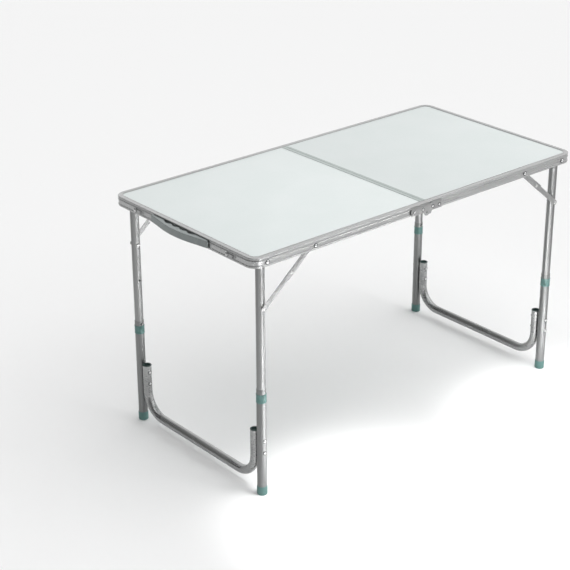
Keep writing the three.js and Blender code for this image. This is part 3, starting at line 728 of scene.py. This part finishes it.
def build_pivots(half, place, sign, side):
    body = f"{half}_half"
    out = Vector((0, side, 0))
    rail_inner = HALF_WIDTH - RAIL_DEPTH
    face = HALF_WIDTH + 0.05 * MM
    x = CENTRE_X + sign * LEG_X
    at = lambda y: Vector((x, side * y, PIVOT_Z))
    inner, outer = LEG_Y - UPPER_RADIUS, LEG_Y + UPPER_RADIUS
    pieces = [
        rod(at(inner - 1 * MM), out, 3 * MM, face - inner + 1 * MM),
        rod(at(outer + 0.2 * MM), out, 5.5 * MM, rail_inner - outer - 0.4 * MM),
        dome(at(face), out, 5.4 * MM, 2.3 * MM, 0.9 * MM),
        dome(at(inner - 0.3 * MM), -out, 5 * MM, 1.3 * MM),
    ]
    # A black ring round the head: painted shadow.
    ring = shadow_ring(at(face), out, 5.5 * MM, 7.0 * MM)
    mesh = join(*pieces[:2], second=pieces[2:], third=[ring])
    piece = finish_mesh(f"{half}_{place}_leg_rivet", mesh, [STEEL, RIVET, SHADOW_BLACK], body)
    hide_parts(f"{half}_{place}_leg_pivot")

    low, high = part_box(f"{half}_{place}_brace_pivot")
    x = (low.x + high.x) / 2
    pieces = [
        rod(at(UPPER_LINK_Y), out, 2.5 * MM, face - UPPER_LINK_Y),
        rod(at(286.7 * MM), out, 4.5 * MM, 1.3 * MM),
        dome(at(face), out, 4.7 * MM, 2.1 * MM, 0.9 * MM),
    ]
    # A black ring round the head: painted shadow.
    ring = shadow_ring(at(face), out, 4.8 * MM, 6.3 * MM)
    mesh = join(*pieces[:2], second=pieces[2:], third=[ring])
    piece = finish_mesh(f"{half}_{place}_brace_rivet", mesh, [STEEL, RIVET, SHADOW_BLACK], body)
    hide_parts(f"{half}_{place}_brace_pivot")


def bar_outline(start, end, half_width, steps=10):
    """A bar with round ends between two points."""
    angle = math.degrees(math.atan2(end[1] - start[1], end[0] - start[0]))
    far_end = arc(end, half_width, angle - 90, angle + 90, steps)
    return far_end + arc(start, half_width, angle + 90, angle + 270, steps)


def build_brace(half, place, sign, side):
    pivot = middle(f"{half}_{place}_brace_pivot")
    span_x = LEG_X - abs(pivot.x - CENTRE_X)
    drop = BRACE_DROP
    length = math.hypot(span_x, drop)
    upper_length = (length - (span_x - drop)) / 2
    top = Vector((pivot.x, PIVOT_Z))
    bottom = Vector((CENTRE_X + sign * LEG_X, PIVOT_Z - drop))
    along = (bottom - top).normalized()
    across = Vector((along.y, -along.x)) * (1 if along.x > 0 else -1)
    knee = top + along * upper_length

    put = lambda a, b, c: (a, side * c, b)

    def bar(name, start, end, half_width, low, high, bevel, steps=10):
        """A bar with round ends; low and high are distances out from the middle of the table."""
        return plate_mesh(name, bar_outline(start, end, half_width, steps), low, high, put, bevel * MM)

    outer_face = UPPER_LINK_Y + 1.3 * MM
    tail = knee + along * 15.5 * MM
    link = bar("link", top, tail, 8.5 * MM, UPPER_LINK_Y, outer_face, 0.3)
    # A pressed rib stiffens the upper link, and a lip over the knee stops it from passing straight.
    rib_from, rib_to = top + along * 20 * MM, knee - along * 20 * MM
    rib = bar("rib", rib_from, rib_to, 2.4 * MM, outer_face - 0.1 * MM, outer_face + 0.6 * MM, 0.3)
    lip_at, lip_reach = knee - across * 7.9 * MM, along * 14 * MM
    lip_low, lip_high = UPPER_LINK_Y + 0.2 * MM, UPPER_LINK_Y + 2.8 * MM
    lip = bar("lip", lip_at - lip_reach, lip_at + lip_reach, 0.7 * MM, lip_low, lip_high, 0.15, 4)
    head = dome((knee.x, side * outer_face, knee.y), (0, side, 0), 4.6 * MM, 1.4 * MM)
    piece = finish_mesh(
        f"{half}_{place}_upper_link", join(link, rib, lip, second=[head]), [STEEL, RIVET],
        f"{half}_upper_braces"
    )
    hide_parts(f"{half}_{place}_upper_brace")

    outer_face = LOWER_LINK_Y + 1.2 * MM
    link = bar("link", bottom, knee, 7.5 * MM, LOWER_LINK_Y, outer_face, 0.3)
    # Its rib stays below the upper link's inner face, which lies over it when the leg is folded.
    rib_from, rib_to = bottom + (knee - bottom).normalized() * 20 * MM, knee + along * 30 * MM
    rib = bar("rib", rib_from, rib_to, 2.2 * MM, outer_face - 0.4 * MM, UPPER_LINK_Y - 0.08 * MM, 0.1)
    head = dome((bottom.x, side * outer_face, bottom.y), (0, side, 0), 4.6 * MM, 1.3 * MM)
    leg_inner = LEG_Y - UPPER_RADIUS - 0.3 * MM
    leg_face = (bottom.x, side * leg_inner, bottom.y)
    shank = rod(leg_face, (0, side, 0), 2.5 * MM, outer_face - 0.2 * MM - leg_inner)
    tail = dome(leg_face, (0, -side, 0), 4.6 * MM, 1.3 * MM)
    piece = finish_mesh(
        f"{half}_{place}_lower_link", join(link, rib, shank, second=[head, tail]), [STEEL, RIVET],
        f"{half}_lower_braces"
    )
    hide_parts(f"{half}_{place}_lower_brace")


# ---- hinges ----


def build_hinge(place, side):
    out = (0, side, 0)
    put = lambda a, b, c: (CENTRE_X + a, side * c, TOP + b)
    bottom = RAIL_BOTTOM - TOP
    mm = lambda points: [(a * MM, b * MM) for a, b in points]
    rail = bottom / MM
    ear, fillet, pin = 10, 5, -28.5
    fillet_z = rail - fillet
    fillet_x = math.sqrt((ear + fillet) ** 2 - (fillet_z - pin) ** 2)
    meet = math.degrees(math.atan2(fillet_z - pin, fillet_x))
    left = [(-58, -6.8), (-58, rail)]
    left += arc((-fillet_x, fillet_z), fillet, 90, -meet, 6)
    left += arc((0, pin), ear, 180 - meet, 360 + meet, 16)[1:-1]
    left += arc((fillet_x, fillet_z), fillet, 180 + meet, 90, 6)
    left += [(16.2, rail), (16.2, -6.8)]
    hole = ring_around((0, -28.5 * MM), 2.8 * MM)
    plate = plate_mesh("leaf", mm(left), 301.7 * MM, 303.1 * MM, put, 0.3 * MM, [hole])
    rivets, shadow_rings = [], []
    for x in (-46, -15):
        spot = Vector((CENTRE_X + x * MM, side * 303.1 * MM, TOP - 17.5 * MM))
        rivets.append(dome(spot, out, 3.5 * MM, 1.3 * MM))
        rivets.append(rod(spot, (0, -side, 0), 2.2 * MM, 6 * MM))
        # A black ring round each head: painted shadow.
        shadow_rings.append(shadow_ring(spot, out, 3.6 * MM, 5.2 * MM))
    mesh = join(plate, second=rivets, third=shadow_rings)
    piece = finish_mesh(f"{place}_left_leaf", mesh, [STEEL, RIVET, SHADOW_BLACK], "left_half")
    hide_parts(f"{place}_hinge_left_leaf")

    right = [(58, rail), (58, -3.6), (16.5, -3.6), (16.5, -20.5)]
    right += arc((0, -28.5), 8, 90, 270, 12) + [(16.5, -36.5), (20.5, rail)]
    plate = plate_mesh("leaf", mm(right), 300.3 * MM, 301.4 * MM, put, 0.3 * MM, [hole])
    rivets, shadow_rings = [], []
    for x in (24, 48):
        spot = Vector((CENTRE_X + x * MM, side * 301.4 * MM, TOP - 17.5 * MM))
        rivets.append(dome(spot, out, 3.4 * MM, 1.4 * MM))
        rivets.append(rod(spot, (0, -side, 0), 2.2 * MM, 4 * MM))
        # A black ring round each head: painted shadow.
        shadow_rings.append(shadow_ring(spot, out, 3.5 * MM, 5.2 * MM))
    mesh = join(plate, second=rivets, third=shadow_rings)
    piece = finish_mesh(f"{place}_right_leaf", mesh, [STEEL, RIVET, SHADOW_BLACK], "right_half")
    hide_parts(f"{place}_hinge_right_leaf")

    profile = mm([(0, 0), (2.3, 0), (2.5, 0.3), (2.5, 2.5), (2.1, 2.9), (0.9, 2.9), (0.7, 2.5), (0, 2.5)])
    mesh = lathe_mesh("pin", profile, (CENTRE_X, side * 300.2 * MM, TOP - 28.5 * MM), out, 32)
    piece = finish_mesh(f"{place}_pin", mesh, DARK_STEEL, "left_half")
    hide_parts(f"{place}_hinge_pin")


# ---- grip ----


def build_grip():
    low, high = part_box("grip")
    end = CENTRE_X - HALF_LENGTH
    half_length = high.y
    bow = end - low.x
    foot = 6 * MM
    gap_half, gap = 68 * MM, 2.2 * MM
    outline = []
    steps = 48
    for i in range(steps + 1):
        t = i / steps * 2 - 1
        reach = foot + (bow - foot) * max(0, math.cos(t * math.pi / 2)) ** 1.2
        outline.append((-reach, t * half_length))
    outline.append((-0.3 * MM, half_length))
    outline.append((-0.3 * MM, gap_half))
    waves = 64
    for i in range(waves + 1):
        y = (0.5 - i / waves) * 128 * MM
        hollow = 6.3 * MM * abs(math.sin(i / waves * 4 * math.pi))
        outline.append((-gap - hollow, y))
    outline.append((-0.3 * MM, -gap_half))
    outline.append((-0.3 * MM, -half_length))
    put = lambda a, b, c: (end + a, b, c)
    mesh = plate_mesh("grip_moulding", outline, low.z, high.z, put, 0)
    piece = finish_mesh("grip_moulding", mesh, GREY, "left_half", 50)
    modifier = piece.modifiers.new("round", "BEVEL")
    modifier.width = 1.1 * MM
    modifier.segments = 3
    modifier.limit_method = "ANGLE"
    modifier.angle_limit = math.radians(60)
    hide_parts("grip")


# ---- latches ----


def build_latch(place):
    out = Vector((-1, 0, 0))
    center = middle(f"{place}_latch_pivot")
    end = CENTRE_X - HALF_LENGTH
    low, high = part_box(f"{place}_latch_hook")
    reach = 25 * MM
    half = (high.z - low.z) / 2
    slot = 2.8 * MM
    outline = arc((0, 0), half, -90, 90, 12) + arc((-reach, 0), half, 90, 180, 8)
    tip = -reach - half
    outline += [(tip, -half * 0.6), (tip + 1.5 * MM, -half), (-reach - slot, -half)]
    outline += arc((-reach, 0), slot, 180, 0, 10) + [(-reach + slot, -half)]
    put = lambda a, b, c: (c, center.y + a, center.z + b)
    hole = ring_around((0, 0), 2.8 * MM)
    plate = plate_mesh("hook", outline, low.x, high.x, put, 0.3 * MM, [hole])
    piece = finish_mesh(f"{place}_hook", plate, STEEL, f"{place}_latch")
    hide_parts(f"{place}_latch_hook")

    head_base = Vector((low.x - 0.3 * MM, center.y, center.z))
    head_height = head_base.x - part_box(f"{place}_latch_pivot")[0].x
    # A black ring round the head: painted shadow.
    mesh = join(
        dome(head_base, out, 4.5 * MM, head_height, 0.1 * MM),
        rod(Vector((end + 4 * MM, center.y, center.z)), out, 2.5 * MM, 6.5 * MM),
        second=[shadow_ring(head_base, out, 4.55 * MM, 5.6 * MM, 0.22 * MM)],
    )
    piece = finish_mesh(f"{place}_latch_rivet", mesh, [RIVET, SHADOW_BLACK], "left_half")
    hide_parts(f"{place}_latch_pivot")

    low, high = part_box(f"{place}_catch_stud")
    neck = Vector((low.x, center.y, center.z))
    collar = Vector((high.x - 2.5 * MM, center.y, center.z))
    mesh = join(
        rod(neck, (1, 0, 0), 2.5 * MM, high.x - 2.4 * MM - low.x),
        dome(collar, (1, 0, 0), 4.5 * MM, 2.5 * MM, 0),
    )
    piece = finish_mesh(f"{place}_stud", mesh, RIVET, "right_half")
    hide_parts(f"{place}_catch_stud")


for half, sign in HALVES.items():
    build_rail(half, sign)
    build_board(half, sign)
    build_centre_rail(half, sign)
    build_stretcher(half, sign)
    for place, side in PLACES.items():
        build_leg(half, place, sign, side)
        build_pivots(half, place, sign, side)
        build_brace(half, place, sign, side)
for place, side in PLACES.items():
    build_hinge(place, side)
    build_latch(place)
build_grip()


# ---- floor, light and camera ----


def build_stage():
    bpy.ops.mesh.primitive_plane_add(size=60, location=(0, 0, 0))
    floor = bpy.context.object
    floor.name = "floor"
    m = Nodes("floor")
    m.set(Base_Color=(0.9, 0.9, 0.9, 1), Roughness=0.9)
    floor.data.materials.append(m.material)

    world = bpy.data.worlds.new("studio")
    bpy.context.scene.world = world
    world.use_nodes = True
    tree = world.node_tree
    background = tree.nodes["Background"]
    coordinates = tree.nodes.new("ShaderNodeTexCoord")
    split = tree.nodes.new("ShaderNodeSeparateXYZ")
    ramp = tree.nodes.new("ShaderNodeValToRGB")
    tree.links.new(coordinates.outputs["Generated"], split.inputs["Vector"])
    tree.links.new(split.outputs["Z"], ramp.inputs["Fac"])
    # A bright band low in the sky lights the flat tops of the rails.
    # The soft sun fills what is above it.
    elements = ramp.color_ramp.elements
    for element, position, value in ((elements[0], 0.0, 0.45), (elements[1], 0.2, 1.0)):
        element.position = position
        element.color = grey(value)
    for position, value in ((0.55, 1.0), (0.8, 0.2)):
        elements.new(position).color = grey(value)
    # The sky is dimmer on the grip's side, so that end stands in shade.
    side = tree.nodes.new("ShaderNodeMapRange")
    for key, value in (("From Min", -0.5), ("From Max", 0.3), ("To Min", 0.15), ("To Max", 1.0)):
        side.inputs[key].default_value = value
    tree.links.new(split.outputs["X"], side.inputs["Value"])
    shade = tree.nodes.new("ShaderNodeVectorMath")
    shade.operation = "SCALE"
    tree.links.new(ramp.outputs["Color"], shade.inputs[0])
    tree.links.new(side.outputs["Result"], shade.inputs["Scale"])
    tree.links.new(shade.outputs["Vector"], background.inputs["Color"])
    background.inputs["Strength"].default_value = 1.26


def area_light(name, location, target, size, power, color=(1, 1, 1)):
    data = bpy.data.lights.new(name, "AREA")
    data.shape = "RECTANGLE"
    data.size, data.size_y = size
    data.energy = power
    data.color = color
    light = bpy.data.objects.new(name, data)
    bpy.context.scene.collection.objects.link(light)
    light.location = location
    aim = Vector(target) - Vector(location)
    light.rotation_euler = aim.to_track_quat("-Z", "Y").to_euler()
    light.visible_camera = False
    return light


def build_lights():
    area_light("key", (1.6, -4.2, 3.6), (0, 0, 0.5), (0.8, 0.8), 14)
    # Two narrow pools of light on the floor, which the tubes mirror as a highlight.
    for name, x, y, size, power in (
        ("left_wash", -0.35, -1.45, (0.3, 2.1), 15),
        ("right_wash", 0.42, -0.68, (0.3, 0.4), 4),
    ):
        wash = area_light(name, (x, y, 0.8), (x, y, 0), size, power)
        wash.data.spread = math.radians(55)
    sky = bpy.data.lights.new("sky", "SUN")
    sky.energy = 1.84
    sky.angle = math.radians(75)
    light = bpy.data.objects.new("sky", sky)
    bpy.context.scene.collection.objects.link(light)
    light.rotation_euler = (math.radians(12), math.radians(8), 0)
    area_light("fill", (-4.5, -1.2, 1.6), (0, 0, 0.4), (2, 2), 2)


def build_camera():
    yaw, pitch, roll = 0.7057, 0.4292, 0.0037
    ahead = Vector((math.sin(yaw), math.cos(yaw), 0))
    forward = ahead * math.cos(pitch) - Vector((0, 0, math.sin(pitch)))
    level = Vector((math.cos(yaw), -math.sin(yaw), 0))
    down = forward.cross(level)
    right = level * math.cos(roll) + down * math.sin(roll)
    up = level * math.sin(roll) - down * math.cos(roll)
    data = bpy.data.cameras.new("camera")
    data.sensor_width = 36
    data.lens = 1581.45 / 570 * 36
    data.clip_end = 200
    camera = bpy.data.objects.new("camera", data)
    bpy.context.scene.collection.objects.link(camera)
    turn = Matrix((right, up, -forward)).transposed().to_4x4()
    camera.matrix_world = Matrix.Translation(Vector((-2.8380, -3.0549, 2.2614))) @ turn
    bpy.context.scene.camera = camera


build_stage()
build_lights()
build_camera()
bpy.context.scene.view_settings.view_transform = "Standard"
